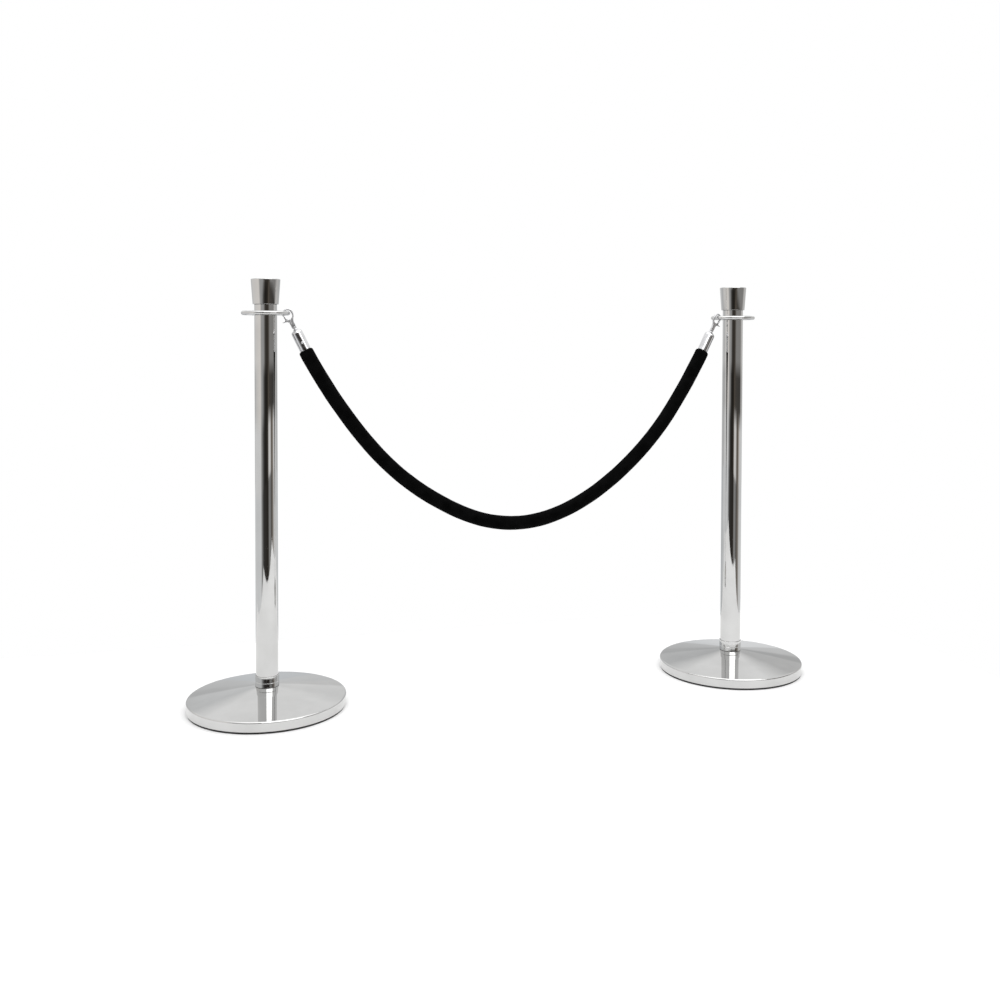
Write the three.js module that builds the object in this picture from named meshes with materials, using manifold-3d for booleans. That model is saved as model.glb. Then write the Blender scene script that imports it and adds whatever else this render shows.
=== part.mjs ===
// Rope barrier: two flared-top posts on weighted round bases, joined by a hanging rope that
// has a ferrule and a swivel trigger hook at each end.
// Millimetres, +Z up. The origin is on the floor midway between the posts, +X runs along the
// rope to the right post, and the rope hangs on the -Y side of both rings.
import * as THREE from "three";
import { mergeVertices } from "three/addons/utils/BufferGeometryUtils.js";
import Module from "manifold-3d";

const wasm = await Module();
wasm.setup();

// ---- Driving dimensions ----
const GAP = 0.3; // kept between pieces that touch
const POST_SPACING = 1166; // between the two post axes

const BASE_RADIUS = 180;
const PAD_RADIUS = 177.5;
const PAD_THICKNESS = 4.5;
const SHEET = 1.5; // wall of the cover, the tube and the collar
const RIM_HEIGHT = 26.3; // where the cover's side would meet its cone
const CONE_TOP = 50.3; // cone height at the centre hole
const SHOULDER = 4; // rounding between the cover's side and its cone
const COVER_HOLE_CLEARANCE = 0.5; // round the tube
const WEIGHT_RADIUS = 167;
const WEIGHT_RIM_TOP = 15.5;
const WEIGHT_SLOPE = [60, 17.5]; // radius and height where the cast boss begins
const BOSS_RADIUS = 34;
const BOSS_TOP = 38.3;
const POCKET_RADIUS = 16; // room under the weight for the bolt's head
const POCKET_TOP = 18.8;
const PAD_HOLE_RADIUS = 20;

const TUBE_RADIUS = 25.4;
const COLLAR_RADIUS = 27.2;
const COLLAR_TOP = 75.3;

const RING_RADIUS = 55;
const RING_MIDDLE = 904.3; // height of the ring's mid plane
const RING_THICKNESS = 8.5;
const RIM_WIDTH = 6.5; // of the ring, outside its openings
const RING_BEVEL = 2.7;
const HUB_RADIUS = 33;
const RING_OPENINGS = 4;
const SPOKE_HALF_ANGLE = 9; // degrees

const NECK_TOP = 923.9;
const NECK_WALL = 6;
const CROWN_BOTTOM_RADIUS = 29.15;
const CROWN_TOP_RADIUS = 33.3;
const POST_HEIGHT = 981.8;
const CROWN_WALL = 3;
const CROWN_ROOF = 5;
const CROWN_BOSS_RADIUS = 10;

const BOLT_RADIUS = 6; // M12, base to tube
const BOLT_HEAD_FLATS = 19;
const BOLT_HEAD_HEIGHT = 7.5;
const BOLT_TOP = 56;
const WASHER_RADIUS = 13;
const WASHER_THICKNESS = 2.5;
const STUD_RADIUS = 5; // M10, tube to crown
const STUD_BOTTOM = 886;
const STUD_TOP = 964;
const PLUG_LENGTH = 20;
const THREAD_CLEARANCE = 0.4;

const ROPE_RADIUS = 16.75;
const CORE_RADIUS = 10;
const COVER_BORE = 12;
const ROPE_STEPS = 24;
const CORE_IN_FERRULE = 34;

const LEAN = THREE.MathUtils.degToRad(26); // ferrule and hook axis, from the vertical
const HANG_RADIUS = RING_RADIUS - RIM_WIDTH + 0.5; // where the hook bears on the ring
const HANG_ANGLE = THREE.MathUtils.degToRad(15); // round the ring, towards -Y
const RIGHT_HOOK_TURN = THREE.MathUtils.degToRad(20); // the right hook stands turned on its swivel

const FERRULE_RADIUS = 12.8;
const FERRULE_BORE = 11.3;
const FERRULE_LENGTH = 50;
const FERRULE_DOME = 8;
const FERRULE_ROOF = 2; // its wall round the swivel
const SCREW_BELOW_DOME = 32;
const SCREW_RADIUS = 1.4;
const SCREW_HEAD_RADIUS = 2.8;
const SCREW_TIP = 4; // from the ferrule's axis
const PILOT_CLEARANCE = 0.4;

const EYE_TOP = 48.8; // dome top to the inside of the hook's bow
const EYE_RADIUS = 8.6;
const EYE_BOTTOM_CENTRE = 36.2;
const BOW_RADIUS = 12.2;
const HOOK_THICKNESS = 4.8;
const HOOK_BEVEL = 1.3;
const SHANK_RADIUS = 3;
const SHANK_TOP = 10;
const SWIVEL_HEAD_RADIUS = 5.4;
const SWIVEL_HEAD_HEIGHT = 2.4;
const SWIVEL_CLEARANCE = 0.4;
const SWIVEL_WASHER_TOP = 1.9;
const PIVOT = [-7.2, 26.4]; // trigger pin, in the hook's own plane
const PIN_RADIUS = 1;
const PIN_STANDS_OUT = 0.4; // at each cheek
const SLOT_WIDTH = 3; // between the two cheeks that hold the trigger
const TRIGGER_PLATE = 1.2;
const TRIGGER_BAR = 3.6; // thickness of the gate bar and the thumb tail
const SPRING_WIRE = 0.9;

const LARGE_ROUND = 40; // facets round the wide turned pieces
const MEDIUM_ROUND = 32;
const SMALL_ROUND = 20;
const FERRULE_ROUND = 24;
const BOLT_ROUND = 16;
const PIN_ROUND = 12;
const HOLE_ROUND = 10;
const ROPE_ROUND = 12;
const CORE_ROUND = 8;

// The rope's centre line, [x, z], chosen by hand from ferrule to ferrule.
const ROPE_ROUTE = [
  [-495.3, 820.8],
  [-487.5, 805],
  [-467, 769],
  [-430, 708.9],
  [-380, 638.6],
  [-330, 578.5],
  [-280, 529.7],
  [-230, 490.7],
  [-180, 459.2],
  [-130, 433.4],
  [-80, 414.8],
  [-35, 405.6],
  [5, 403],
  [45, 405.8],
  [90, 415.6],
  [140, 434.2],
  [190, 460.6],
  [240, 494.8],
  [290, 536.3],
  [340, 586.1],
  [390, 647.3],
  [440, 723.8],
  [466.5, 770],
  [485.7, 805.3],
  [493.2, 820.8],
];

// ---- Materials ----
const metal = (color, roughness) =>
  new THREE.MeshStandardMaterial({ color, roughness, metalness: 1 });
const soft = (color, roughness) =>
  new THREE.MeshStandardMaterial({ color, roughness, metalness: 0 });

const polished = () => metal(0xd4d4d0, 0.08);
const plated = () => metal(0xdcdcdc, 0.12);
const zinc = () => metal(0x9a9c9e, 0.4);
const iron = () => metal(0x3a3b3d, 0.75);
const rubber = () => soft(0x17171a, 0.8);
const velour = () => soft(0x0a0a0b, 0.95);
const cotton = () => soft(0xcfc8b8, 0.95);

// ---- Solids ----
function toSolid(geometry) {
  const bare = geometry.index ? geometry.toNonIndexed() : geometry.clone();
  bare.deleteAttribute("normal");
  bare.deleteAttribute("uv");
  const merged = mergeVertices(bare, 1e-3);
  return new wasm.Manifold(
    new wasm.Mesh({
      numProp: 3,
      vertProperties: merged.attributes.position.array,
      triVerts: new Uint32Array(merged.index.array),
    }),
  );
}

function toGeometry(solid) {
  const mesh = solid.getMesh();
  const geometry = new THREE.BufferGeometry();
  geometry.setAttribute("position", new THREE.BufferAttribute(mesh.vertProperties, 3));
  geometry.setIndex(new THREE.BufferAttribute(mesh.triVerts, 1));
  return geometry;
}

const joined = (...geometries) =>
  toGeometry(geometries.map(toSolid).reduce((whole, more) => whole.add(more)));

const cut = (geometry, ...tools) =>
  toGeometry(tools.map(toSolid).reduce((left, tool) => left.subtract(tool), toSolid(geometry)));

function mesh(name, geometry, material) {
  const made = new THREE.Mesh(geometry, material);
  made.name = name;
  return made;
}

// ---- Shapes ----
// A profile is a list of [radius, height] that goes up the outside; the axis is local +Y.
const vectors = (pairs) => pairs.map(([x, y]) => new THREE.Vector2(x, y));
const turned = (profile, segments) => new THREE.LatheGeometry(vectors(profile), segments);
const turnedRing = (profile, segments) => turned([...profile, profile[0]], segments);

function rod(radius, bottom, top, segments) {
  return turned([[0, bottom], [radius, bottom], [radius, top], [0, top]], segments);
}

function sleeve(inner, outer, bottom, top, segments) {
  return turnedRing([[inner, bottom], [outer, bottom], [outer, top], [inner, top]], segments);
}

// Points on an arc, both ends included; degrees, anticlockwise when to is over from.
function arc([x, y], radius, from, to, steps) {
  return Array.from({ length: steps + 1 }, (_, i) => {
    const angle = THREE.MathUtils.degToRad(from + ((to - from) * i) / steps);
    return [x + radius * Math.cos(angle), y + radius * Math.sin(angle)];
  });
}

const polygon = (radius, sides) => arc([0, 0], radius, 0, 360 - 360 / sides, sides - 1);
const outline = (pairs) => new THREE.Shape(vectors(pairs));

// A plate of the outline, in the local XY plane, between two heights along Z.
function plate(shape, from, to, bevel = 0) {
  return new THREE.ExtrudeGeometry(shape, {
    depth: to - from - 2 * bevel,
    bevelEnabled: bevel > 0,
    bevelSegments: 1,
    bevelSize: bevel,
    bevelThickness: bevel,
    bevelOffset: -bevel,
  }).translate(0, 0, from + bevel);
}

// ---- Post: base ----
const coneHeight = (radius) =>
  RIM_HEIGHT + ((CONE_TOP - RIM_HEIGHT) * (BASE_RADIUS - radius)) / (BASE_RADIUS - TUBE_RADIUS);

function floorPad(name) {
  return mesh(name, sleeve(PAD_HOLE_RADIUS, PAD_RADIUS, 0, PAD_THICKNESS, LARGE_ROUND), rubber());
}

function baseCover(name) {
  const hole = TUBE_RADIUS + COVER_HOLE_CLEARANCE;
  const foot = PAD_THICKNESS + GAP;
  const coneAngle = THREE.MathUtils.radToDeg(
    Math.atan2(CONE_TOP - RIM_HEIGHT, BASE_RADIUS - TUBE_RADIUS),
  );
  const shoulder = [BASE_RADIUS - SHOULDER, RIM_HEIGHT - SHOULDER * 0.85];
  const profile = [
    [BASE_RADIUS - SHEET, foot],
    [BASE_RADIUS, foot],
    ...arc(shoulder, SHOULDER, 0, 90 - coneAngle, 2),
    [hole, coneHeight(hole)],
    [hole, coneHeight(hole) - SHEET],
    ...arc(shoulder, SHOULDER - SHEET, 90 - coneAngle, 0, 1),
  ];
  return mesh(name, turnedRing(profile, LARGE_ROUND), polished());
}

function baseWeight(name) {
  const bore = BOLT_RADIUS + 2 * GAP;
  const bottom = PAD_THICKNESS + GAP;
  const profile = [
    [bore, POCKET_TOP],
    [POCKET_RADIUS, POCKET_TOP],
    [POCKET_RADIUS, bottom],
    [WEIGHT_RADIUS, bottom],
    [WEIGHT_RADIUS, WEIGHT_RIM_TOP],
    WEIGHT_SLOPE,
    [BOSS_RADIUS, BOSS_TOP],
    [bore, BOSS_TOP],
  ];
  return mesh(name, turnedRing(profile, MEDIUM_ROUND), iron());
}

const washerTop = POCKET_TOP - GAP;
const washerBottom = washerTop - WASHER_THICKNESS;

function baseWasher(name) {
  const bore = BOLT_RADIUS + THREAD_CLEARANCE;
  return mesh(name, sleeve(bore, WASHER_RADIUS, washerBottom, washerTop, SMALL_ROUND), zinc());
}

function baseBolt(name) {
  const headCorner = BOLT_HEAD_FLATS / Math.sqrt(3);
  const headTop = washerBottom - GAP;
  const head = rod(headCorner, headTop - BOLT_HEAD_HEIGHT, headTop, 6);
  const shank = rod(BOLT_RADIUS, headTop - BOLT_HEAD_HEIGHT / 2, BOLT_TOP, BOLT_ROUND);
  return mesh(name, joined(head, shank), zinc());
}

function collar(name) {
  const seat = coneHeight(COLLAR_RADIUS) + 2 * GAP;
  const inner = TUBE_RADIUS + GAP;
  return mesh(name, sleeve(inner, COLLAR_RADIUS, seat, COLLAR_TOP, MEDIUM_ROUND), polished());
}

// ---- Post: tube and head ----
const ringBottom = RING_MIDDLE - RING_THICKNESS / 2;
const ringTop = RING_MIDDLE + RING_THICKNESS / 2;
const tubeTop = ringBottom - GAP;
const plugRadius = TUBE_RADIUS - SHEET - GAP;

function tube(name) {
  const bottom = BOSS_TOP + GAP;
  const inner = TUBE_RADIUS - SHEET;
  return mesh(name, sleeve(inner, TUBE_RADIUS, bottom, tubeTop, MEDIUM_ROUND), polished());
}

function footPlug(name) {
  const bottom = BOSS_TOP + 2 * GAP;
  const thread = BOLT_RADIUS + THREAD_CLEARANCE;
  return mesh(name, sleeve(thread, plugRadius, bottom, bottom + PLUG_LENGTH, SMALL_ROUND), zinc());
}

function headPlug(name) {
  const top = tubeTop - GAP;
  const thread = STUD_RADIUS + THREAD_CLEARANCE;
  return mesh(name, sleeve(thread, plugRadius, top - PLUG_LENGTH, top, SMALL_ROUND), zinc());
}

function headStud(name) {
  return mesh(name, rod(STUD_RADIUS, STUD_BOTTOM, STUD_TOP, BOLT_ROUND), zinc());
}

// A curved slot in the ring, centred on an angle, for the hooks to pass through.
function ringOpening(middle) {
  const reach = 180 / RING_OPENINGS - SPOKE_HALF_ANGLE;
  const outer = arc([0, 0], RING_RADIUS - RIM_WIDTH, middle - reach, middle + reach, 7);
  const inner = arc([0, 0], HUB_RADIUS, middle + reach, middle - reach, 5);
  return new THREE.Path(vectors([...outer, ...inner]));
}

function ropeRing(name) {
  const shape = outline(polygon(RING_RADIUS, LARGE_ROUND));
  shape.holes = Array.from({ length: RING_OPENINGS }, (_, i) =>
    ringOpening((i * 360) / RING_OPENINGS),
  );
  shape.holes.push(new THREE.Path(vectors(polygon(STUD_RADIUS + THREAD_CLEARANCE, HOLE_ROUND))));
  const geometry = plate(shape, ringBottom, ringTop, RING_BEVEL).rotateX(-Math.PI / 2);
  return mesh(name, geometry, polished());
}

function neck(name) {
  const inner = TUBE_RADIUS - NECK_WALL;
  return mesh(name, sleeve(inner, TUBE_RADIUS, ringTop + GAP, NECK_TOP, MEDIUM_ROUND), polished());
}

// A hollow cup, open below, with a threaded boss that the stud screws into.
function crown(name) {
  const bottom = NECK_TOP + GAP;
  const roof = POST_HEIGHT - CROWN_ROOF;
  const thread = STUD_RADIUS + THREAD_CLEARANCE;
  const threadTop = STUD_TOP + 2;
  const bossBottom = bottom + 2;
  const edge = 1;
  const radiusAt = (height) =>
    CROWN_BOTTOM_RADIUS +
    ((CROWN_TOP_RADIUS - CROWN_BOTTOM_RADIUS) * (height - bottom)) / (POST_HEIGHT - bottom);
  const profile = [
    [0, threadTop],
    [thread, threadTop],
    [thread, bossBottom],
    [CROWN_BOSS_RADIUS, bossBottom],
    [CROWN_BOSS_RADIUS, roof],
    [radiusAt(roof) - CROWN_WALL, roof],
    [radiusAt(bottom) - CROWN_WALL, bottom],
    [radiusAt(bottom), bottom],
    [radiusAt(POST_HEIGHT - edge), POST_HEIGHT - edge],
    [CROWN_TOP_RADIUS - edge, POST_HEIGHT],
    [0, POST_HEIGHT],
  ];
  return mesh(name, turned(profile, MEDIUM_ROUND), polished());
}

function post(side, x) {
  const group = new THREE.Group();
  group.add(
    floorPad(`${side}_floor_pad`),
    baseWeight(`${side}_base_weight`),
    baseCover(`${side}_base_cover`),
    baseWasher(`${side}_base_washer`),
    baseBolt(`${side}_base_bolt`),
    collar(`${side}_collar`),
    tube(`${side}_tube`),
    footPlug(`${side}_foot_plug`),
    headPlug(`${side}_head_plug`),
    ropeRing(`${side}_rope_ring`),
    neck(`${side}_neck`),
    crown(`${side}_crown`),
    headStud(`${side}_head_stud`),
  );
  group.position.set(x, 0, 0);
  group.rotation.x = Math.PI / 2;
  return group;
}

// ---- Rope ----
// The rope hangs in one upright plane through the two places where its hooks bear.
const ropeY = -HANG_RADIUS * Math.sin(HANG_ANGLE);
const routePoints = ROPE_ROUTE.map(([x, z]) => new THREE.Vector3(x, ropeY, z));

// The point at a distance along a ferrule's axis, up from the rope's end on that side.
function onAxis(side, distance) {
  const end = side < 0 ? routePoints[0] : routePoints[routePoints.length - 1];
  const up = new THREE.Vector3(side * Math.sin(LEAN), 0, Math.cos(LEAN));
  return end.clone().addScaledVector(up, distance);
}

function alongRope(shape, points) {
  const extrudePath = new THREE.CatmullRomCurve3(points);
  return new THREE.ExtrudeGeometry(shape, { extrudePath, steps: ROPE_STEPS, bevelEnabled: false });
}

function ropeCover() {
  const shape = outline(polygon(ROPE_RADIUS, ROPE_ROUND));
  shape.holes.push(new THREE.Path(vectors(polygon(COVER_BORE, ROPE_ROUND))));
  return mesh("rope_cover", alongRope(shape, routePoints), velour());
}

function ropeCore() {
  const points = [onAxis(-1, CORE_IN_FERRULE), ...routePoints, onAxis(1, CORE_IN_FERRULE)];
  const core = alongRope(outline(polygon(CORE_RADIUS, CORE_ROUND)), points);
  const pilots = [ropeEnd(-1), ropeEnd(1)].map((end) => screwPilot().applyMatrix4(end.matrix));
  return mesh("rope_core", cut(core, ...pilots), cotton());
}

// ---- Rope ends: ferrule and hook, in a frame whose +Y is the axis and 0 the dome's top ----
function ropeEnd(side) {
  const group = new THREE.Group();
  group.position.copy(onAxis(side, FERRULE_LENGTH + GAP));
  group.rotation.set(Math.PI / 2, -LEAN, side < 0 ? 0 : Math.PI, "ZYX");
  group.updateMatrix();
  return group;
}

function ferrule(name) {
  const hole = SHANK_RADIUS + SWIVEL_CLEARANCE;
  const steps = 4;
  const dome = Array.from({ length: steps + 1 }, (_, i) => {
    const angle = (Math.PI / 2) * (i / steps);
    return [
      hole + (FERRULE_RADIUS - hole) * Math.cos(angle),
      FERRULE_DOME * (Math.sin(angle) - 1),
    ];
  });
  const profile = [
    [FERRULE_BORE, -FERRULE_LENGTH],
    [FERRULE_RADIUS, -FERRULE_LENGTH],
    ...dome,
    [hole, -FERRULE_ROOF],
    [SWIVEL_HEAD_RADIUS + 2 * SWIVEL_CLEARANCE, -FERRULE_ROOF],
    [0.75 * FERRULE_BORE, -(FERRULE_ROOF + FERRULE_DOME) / 2.6],
    [FERRULE_BORE, -FERRULE_DOME],
  ];
  return mesh(name, cut(turnedRing(profile, FERRULE_ROUND), screwPilot()), plated());
}

// The screw stands on the side of the ferrule that faces local +Z.
function screwPilot() {
  return rod(SCREW_RADIUS + PILOT_CLEARANCE, SCREW_TIP - 2, FERRULE_RADIUS + 2, HOLE_ROUND)
    .rotateX(Math.PI / 2)
    .translate(0, -SCREW_BELOW_DOME, 0);
}

function ferruleScrew(name) {
  const seat = FERRULE_RADIUS + GAP;
  const head = turned(
    [
      [0, seat],
      [SCREW_HEAD_RADIUS, seat],
      [SCREW_HEAD_RADIUS * 0.9, seat + 0.8],
      [SCREW_HEAD_RADIUS / 2, seat + 1.3],
      [0, seat + 1.4],
    ],
    PIN_ROUND,
  );
  const shank = rod(SCREW_RADIUS, SCREW_TIP, seat + 0.2, HOLE_ROUND);
  const geometry = joined(head, shank).rotateX(Math.PI / 2).translate(0, -SCREW_BELOW_DOME, 0);
  return mesh(name, geometry, plated());
}

function swivelWasher(name) {
  const bore = SHANK_RADIUS + SWIVEL_CLEARANCE;
  return mesh(name, sleeve(bore, SWIVEL_HEAD_RADIUS, GAP, SWIVEL_WASHER_TOP, SMALL_ROUND), plated());
}

// The open hook, from its neck up the rope side, over the ring and down to the nose,
// then back along the inside of the eye to the lug that holds the trigger.
function hookOutline() {
  const ropeSide = [
    [SHANK_RADIUS, 3.2],
    [5, 6],
    [5.3, 19],
    [6.6, 24.6],
    [9.2, 28.8],
    [11.4, 33],
    [12.3, 36.8],
  ];
  const poleSide = [
    [-5.3, 20.5],
    [-5, 6],
    [-SHANK_RADIUS, 3.2],
  ];
  return outline([
    ...ropeSide,
    ...arc([0.4, EYE_TOP - EYE_RADIUS + 0.2], BOW_RADIUS, 0, 190, 10),
    ...arc([0, EYE_TOP - EYE_RADIUS], EYE_RADIUS, 190, 0, 8),
    ...arc([0, EYE_BOTTOM_CENTRE], EYE_RADIUS, -8, -125, 6),
    ...arc(PIVOT, 3.2, 50, 250, 6),
    ...poleSide,
  ]);
}

const pinHole = (radius) =>
  rod(radius, -HOOK_THICKNESS, HOOK_THICKNESS, PIN_ROUND)
    .rotateX(Math.PI / 2)
    .translate(...PIVOT, 0);

function hookBody(name) {
  const half = HOOK_THICKNESS / 2;
  const body = plate(hookOutline(), -half, half, HOOK_BEVEL);
  const headTop = -FERRULE_ROOF - SWIVEL_CLEARANCE;
  const headBottom = headTop - SWIVEL_HEAD_HEIGHT;
  const shank = turned(
    [
      [0, headBottom],
      [SWIVEL_HEAD_RADIUS, headBottom],
      [SWIVEL_HEAD_RADIUS, headTop],
      [SHANK_RADIUS, headTop],
      [SHANK_RADIUS, SHANK_TOP],
      [0, SHANK_TOP],
    ],
    BOLT_ROUND,
  );
  const slot = new THREE.BoxGeometry(9, 9, SLOT_WIDTH).translate(-7.9, 27, 0);
  return mesh(name, cut(joined(body, shank), slot, pinHole(PIN_RADIUS + GAP)), plated());
}

// A thin eye between the hook's cheeks, with a thicker gate bar above and thumb tail beside it.
function trigger(name) {
  const eyeFrom = -SLOT_WIDTH / 2 + GAP;
  const eyePlate = [
    ...arc(PIVOT, 2.7, -120, 75, 8),
    [-8.3, 33],
    [-10.9, 33],
    [-11, 29],
    [-13, 27.4],
    [-13, 25.1],
    [-10.5, 24.6],
  ];
  const bar = [
    [-11, 31.3],
    [-11.3, 36.6],
    [-10.6, 37.6],
    [-9.2, 37.8],
    [-8.5, 37.2],
    [-8.2, 31.3],
  ];
  const tail = [
    [-15, 25.1],
    [-18, 25.8],
    [-18.8, 26.8],
    [-18, 27.6],
    [-15, 27.2],
    [-12.2, 27.7],
    [-12.2, 25],
  ];
  const half = TRIGGER_BAR / 2;
  const whole = joined(
    plate(outline(eyePlate), eyeFrom, eyeFrom + TRIGGER_PLATE),
    plate(outline(bar), -half, half),
    plate(outline(tail), -half, half),
  );
  return mesh(name, cut(whole, pinHole(PIN_RADIUS + GAP)), plated());
}

function triggerPin(name) {
  const half = HOOK_THICKNESS / 2 + PIN_STANDS_OUT;
  const geometry = rod(PIN_RADIUS, -half, half, PIN_ROUND);
  return mesh(name, geometry.rotateX(Math.PI / 2).translate(...PIVOT, 0), zinc());
}

// One turn of wire round the pin, with a leg up to the gate and a leg down into the slot.
function triggerSpring(name) {
  const [x, y] = PIVOT;
  const shape = outline([
    ...arc(PIVOT, 2.4, -70, 70, 5),
    [x + 0.8, y + 4.1],
    [x, y + 4.1],
    ...arc(PIVOT, 1.5, 90, -90, 7),
    [x, y - 3.6],
    [x + 0.8, y - 3.6],
  ]);
  return mesh(name, plate(shape, GAP, GAP + SPRING_WIRE), zinc());
}

function hookAndFerrule(name, side, hookTurn) {
  const end = ropeEnd(side);
  const hook = new THREE.Group();
  hook.rotation.y = hookTurn;
  hook.add(
    swivelWasher(`${name}_swivel_washer`),
    hookBody(`${name}_hook_body`),
    trigger(`${name}_trigger`),
    triggerPin(`${name}_trigger_pin`),
    triggerSpring(`${name}_trigger_spring`),
  );
  end.add(ferrule(`${name}_ferrule`), ferruleScrew(`${name}_ferrule_screw`), hook);
  return end;
}

// ---- The whole barrier ----
const barrier = new THREE.Group();
barrier.add(
  post("left", -POST_SPACING / 2),
  post("right", POST_SPACING / 2),
  ropeCover(),
  ropeCore(),
  hookAndFerrule("left", -1, 0),
  hookAndFerrule("right", 1, RIGHT_HOOK_TURN),
);

export default barrier;
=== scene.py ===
"""Looks of the rope barrier: two polished posts, and a velour rope with a snap hook at each end.

Metres, +Z up, in the CAD's own frame. The rope hangs on the -Y side of both rings.
"""

import math

import bmesh
import bpy
from mathutils import Matrix, Vector, noise


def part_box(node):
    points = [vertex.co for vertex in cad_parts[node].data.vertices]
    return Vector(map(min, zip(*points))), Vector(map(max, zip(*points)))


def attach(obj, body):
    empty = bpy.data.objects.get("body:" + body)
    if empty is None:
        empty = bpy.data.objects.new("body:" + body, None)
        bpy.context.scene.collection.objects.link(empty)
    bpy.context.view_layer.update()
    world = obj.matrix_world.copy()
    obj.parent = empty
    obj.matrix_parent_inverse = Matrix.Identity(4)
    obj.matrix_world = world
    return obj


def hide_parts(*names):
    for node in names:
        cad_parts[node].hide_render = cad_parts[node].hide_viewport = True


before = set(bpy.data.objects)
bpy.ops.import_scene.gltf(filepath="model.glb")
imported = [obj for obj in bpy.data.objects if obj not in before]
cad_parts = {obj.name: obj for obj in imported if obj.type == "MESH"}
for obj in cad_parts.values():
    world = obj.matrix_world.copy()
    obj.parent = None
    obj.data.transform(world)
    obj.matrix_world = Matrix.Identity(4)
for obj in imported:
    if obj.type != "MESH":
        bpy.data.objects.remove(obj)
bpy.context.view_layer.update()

MM = 0.001
SIDES = ("left", "right")

# Rope and its ends, as the CAD has them. LEAN is a ferrule's angle from upright.
ROPE_Y = -0.01268
ROPE_DIAMETER = 0.0335
ROPE_BORE = 0.012
CORE_RADIUS = 0.0099
CORE_IN_FERRULE = 0.034
LEAN = math.radians(26)
HOOK_TURN = {"left": 0.0, "right": math.radians(20)}
FERRULE_LENGTH = 0.05
SCREW_BELOW_DOME = 0.032
GAP = 0.0003

# The rope's centre line, (x, z), from ferrule to ferrule.
ROPE_ROUTE = [
    (-0.4953, 0.8208),
    (-0.4875, 0.805),
    (-0.467, 0.769),
    (-0.43, 0.7089),
    (-0.38, 0.6386),
    (-0.33, 0.5785),
    (-0.28, 0.5297),
    (-0.23, 0.4907),
    (-0.18, 0.4592),
    (-0.13, 0.4334),
    (-0.08, 0.4148),
    (-0.035, 0.4056),
    (0.005, 0.403),
    (0.045, 0.4058),
    (0.09, 0.4156),
    (0.14, 0.4342),
    (0.19, 0.4606),
    (0.24, 0.4948),
    (0.29, 0.5363),
    (0.34, 0.5861),
    (0.39, 0.6473),
    (0.44, 0.7238),
    (0.4665, 0.77),
    (0.4857, 0.8053),
    (0.4932, 0.8208),
]


# ---- Camera ----
def make_camera():
    data = bpy.data.cameras.new("camera")
    data.sensor_width = 36
    data.lens = 38.18
    data.shift_x = -0.0134
    data.shift_y = -0.1227
    data.clip_start = 0.05
    data.clip_end = 60
    camera = bpy.data.objects.new("camera", data)
    camera.location = (-0.6637, -2.4826, 0.8277)
    camera.rotation_euler = (math.pi / 2 - 0.0282, -0.0025, -math.radians(14.994))
    bpy.context.scene.collection.objects.link(camera)
    bpy.context.scene.camera = camera


# ---- Mesh helpers ----
def new_object(name, mesh, material, body, node=None):
    """Puts a finished mesh in the scene as a piece that rides on a CAD body."""
    made = bpy.data.objects.new(name, mesh)
    bpy.context.scene.collection.objects.link(made)
    mesh.materials.clear()
    mesh.materials.append(material)
    even = made.modifiers.new("even_shading", "WEIGHTED_NORMAL")
    even.keep_sharp = True
    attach(made, body)
    if node:
        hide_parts(node)
    return made


def to_mesh(name, bm, sharp=32):
    """Turns a bmesh into a smooth-shaded mesh whose faces point out."""
    bmesh.ops.remove_doubles(bm, verts=bm.verts, dist=1e-7)
    bmesh.ops.recalc_face_normals(bm, faces=bm.faces)
    mesh = bpy.data.meshes.new(name)
    bm.to_mesh(mesh)
    bm.free()
    mesh.shade_smooth()
    mesh.set_sharp_from_angle(angle=math.radians(sharp))
    return mesh


def rounded(corners, steps=5):
    """Replaces each (x, y, radius) corner of a closed outline with an arc of that radius."""
    out = []
    for i, (x, y, radius) in enumerate(corners):
        here = Vector((x, y))
        if radius == 0:
            out.append(here)
            continue
        to_last = (Vector(corners[i - 1][:2]) - here).normalized()
        to_next = (Vector(corners[(i + 1) % len(corners)][:2]) - here).normalized()
        half = math.acos(max(-1.0, min(1.0, to_last.dot(to_next)))) / 2
        centre = here + (to_last + to_next).normalized() * (radius / math.sin(half))
        start = here + to_last * (radius / math.tan(half)) - centre
        end = here + to_next * (radius / math.tan(half)) - centre
        first = math.atan2(start.y, start.x)
        sweep = (math.atan2(end.y, end.x) - first + math.pi) % (2 * math.pi) - math.pi
        for k in range(steps + 1):
            angle = first + sweep * k / steps
            out.append(centre + radius * Vector((math.cos(angle), math.sin(angle))))
    return out


def subdivided(points, longest):
    """Adds points along a closed outline's long straight runs."""
    out = []
    for i, here in enumerate(points):
        after = points[(i + 1) % len(points)]
        pieces = max(1, math.ceil((after - here).length / longest))
        out += [here.lerp(after, k / pieces) for k in range(pieces)]
    return out


def turned(name, profile, place, segments=96, wave=0.0, wave_size=0.06, sharp=32):
    """Turns a closed profile of (radius, height) points about the place's Z axis.

    wave is how far, in metres, the surface wanders from true over about wave_size.
    """
    bm = bmesh.new()
    rows = []
    for r, z in profile:
        if r < 1e-9:
            rows.append([bm.verts.new((0, 0, z))] * segments)
            continue
        row = []
        for k in range(segments):
            angle = 2 * math.pi * k / segments
            x, y = math.cos(angle), math.sin(angle)
            spot = Vector((x * r, y * r, z))
            shift = wave * noise.noise(place @ spot / wave_size) if wave else 0.0
            row.append(bm.verts.new((x * (r + shift), y * (r + shift), z)))
        rows.append(row)
    for lower, upper in zip(rows, rows[1:] + rows[:1]):
        for k in range(segments):
            j = (k + 1) % segments
            corners = [lower[k], lower[j], upper[j], upper[k]]
            unlike = [v for i, v in enumerate(corners) if v not in corners[:i]]
            if len(unlike) > 2:
                bm.faces.new(unlike)
    bm.transform(place)
    return to_mesh(name, bm, sharp)


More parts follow.
